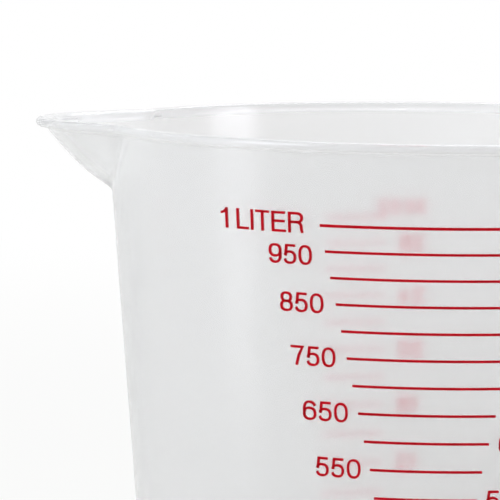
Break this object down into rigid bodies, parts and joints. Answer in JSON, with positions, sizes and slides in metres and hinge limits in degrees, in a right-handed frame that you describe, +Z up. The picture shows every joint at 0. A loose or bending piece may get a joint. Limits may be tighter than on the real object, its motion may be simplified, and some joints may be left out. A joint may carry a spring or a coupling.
{
  "type": "measuring jug",
  "caption": "Tapered translucent measuring jug with a beaded rim, a pouring spout, a closed loop handle of I section, a foot ring and printed scales in millilitres and fluid ounces.",
  "frame": {"origin": "centre of the foot ring on the plane that the jug rests on", "axes": "+Z up along the vessel's axis, the spout towards -X, the handle towards +X, the metric scale facing -Y"},
  "size_m": [0.1772, 0.1272, 0.122],
  "materials": {
    "milky_plastic": "satin",
    "red_ink": "matte"
  },
  "bodies": {
    "root": {"vessel_wall": "milky_plastic", "vessel_floor": "milky_plastic", "foot_ring": "milky_plastic", "rim_bead": "milky_plastic", "pouring_spout": "milky_plastic", "handle_outer_flange": "milky_plastic", "handle_inner_flange": "milky_plastic", "handle_web": "milky_plastic", "metric_scale_lines": "red_ink", "ounce_scale_lines": "red_ink"}
  },
  "joints": []
}
